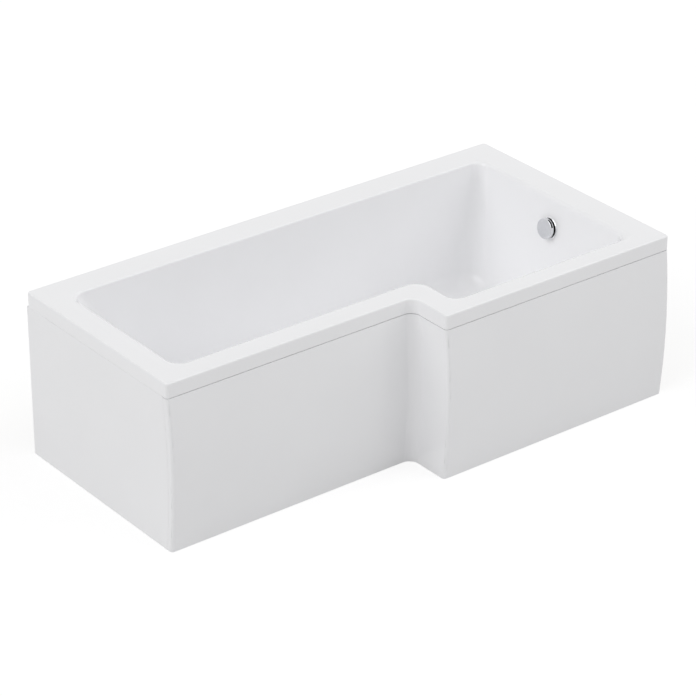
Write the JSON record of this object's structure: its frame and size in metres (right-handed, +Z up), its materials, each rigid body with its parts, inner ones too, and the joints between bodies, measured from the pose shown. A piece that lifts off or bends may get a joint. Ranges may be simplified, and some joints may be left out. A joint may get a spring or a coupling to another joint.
{
  "type": "shower bath",
  "caption": "Step-sided shower bath with a bowed front panel, a flat end panel, levelling feet and a turn-knob pop-up waste.",
  "frame": {"origin": "on the floor, under the middle of the whole bath with its panels", "axes": "+Z up; +X along the bath, from the narrow reclining end to the wide tap and waste end; +Y towards the wall, so the panel faces -Y"},
  "size_m": [1.7, 0.8638, 0.531],
  "materials": {
    "acrylic": "gloss white cast acrylic",
    "panel_acrylic": "gloss white acrylic sheet",
    "board": "chipboard, resin coated",
    "timber": "planed softwood",
    "zinc_steel": "zinc-plated folded steel",
    "stud_steel": "zinc-plated thread",
    "screw_brass": "yellow passivated",
    "foot_plastic": "matt moulded",
    "chrome": "polished",
    "seal_rubber": "matt",
    "white_plastic": "satin moulded",
    "cable_sheath": "satin",
    "lever_plastic": "satin moulded"
  },
  "bodies": {
    "bath": {"bath_shell": "acrylic", "base_board": "board", "rim_batten_back": "timber", "rim_batten_tap_end": "timber", "rim_batten_head_end": "timber", "rim_batten_narrow_front": "timber", "rim_batten_wide_front": "timber", "cross_rail_1": "zinc_steel", "cross_rail_2": "zinc_steel", "cross_rail_3": "zinc_steel", "centre_plate": "zinc_steel", "rail_screws": "screw_brass", "leg_nuts": "stud_steel", "wall_bracket_1": "zinc_steel", "wall_bracket_2": "zinc_steel", "wall_bracket_3": "zinc_steel", "wall_bracket_4": "zinc_steel", "bracket_screws": "screw_brass", "front_panel": "panel_acrylic", "end_panel": "panel_acrylic", "panel_top_clips": "zinc_steel", "panel_floor_clips": "zinc_steel", "floor_batten_narrow": "timber", "floor_batten_wide": "timber", "floor_batten_head_end": "timber", "overflow_ring": "chrome", "overflow_seal": "seal_rubber", "overflow_body": "white_plastic", "overflow_hose": "white_plastic", "hose_nuts": "white_plastic", "lift_cable": "cable_sheath", "waste_flange": "chrome", "waste_seal": "seal_rubber", "waste_body": "white_plastic", "lever_pin": "stud_steel"},
    "leg_1": {"foot_1": "foot_plastic", "stud_1": "stud_steel"},
    "leg_2": {"foot_2": "foot_plastic", "stud_2": "stud_steel"},
    "leg_3": {"foot_3": "foot_plastic", "stud_3": "stud_steel"},
    "leg_4": {"foot_4": "foot_plastic", "stud_4": "stud_steel"},
    "leg_5": {"foot_5": "foot_plastic", "stud_5": "stud_steel"},
    "leg_6": {"foot_6": "foot_plastic", "stud_6": "stud_steel"},
    "leg_7": {"foot_7": "foot_plastic", "stud_7": "stud_steel"},
    "knob": {"overflow_knob": "chrome"},
    "plug": {"waste_plug": "chrome", "plug_seal": "seal_rubber"},
    "lever": {"lift_lever": "lever_plastic"}
  },
  "joints": [
    {"name": "leg_1_level", "type": "slide", "parent": "bath", "child": "leg_1", "axis": [0, 0, 1], "range_m": [-0.02, 0.015]},
    {"name": "leg_2_level", "type": "slide", "parent": "bath", "child": "leg_2", "axis": [0, 0, 1], "range_m": [-0.02, 0.015]},
    {"name": "leg_3_level", "type": "slide", "parent": "bath", "child": "leg_3", "axis": [0, 0, 1], "range_m": [-0.02, 0.015]},
    {"name": "leg_4_level", "type": "slide", "parent": "bath", "child": "leg_4", "axis": [0, 0, 1], "range_m": [-0.02, 0.015]},
    {"name": "leg_5_level", "type": "slide", "parent": "bath", "child": "leg_5", "axis": [0, 0, 1], "range_m": [-0.02, 0.015]},
    {"name": "leg_6_level", "type": "slide", "parent": "bath", "child": "leg_6", "axis": [0, 0, 1], "range_m": [-0.02, 0.015]},
    {"name": "leg_7_level", "type": "slide", "parent": "bath", "child": "leg_7", "axis": [0, 0, 1], "range_m": [-0.01, 0.01]},
    {"name": "knob_turn", "type": "hinge", "parent": "bath", "child": "knob", "pos_m": [0.7376, -0.013, 0.435], "axis": [-0.9903, 0, 0.1392], "range_deg": [0, 90]},
    {"name": "lever_swing", "type": "hinge", "parent": "bath", "child": "lever", "pos_m": [0.546, -0.013, 0.082], "axis": [0, -1, 0], "range_deg": [0, 41.86]},
    {"name": "plug_lift", "type": "slide", "parent": "bath", "child": "plug", "axis": [0, 0, 1], "range_m": [0, 0.01]}
  ],
  "couplings": [
    {"joint": "lever_swing", "follows": "knob_turn", "ratio": 0.465},
    {"joint": "plug_lift", "follows": "knob_turn", "m_per_rad": 0.006366}
  ]
}
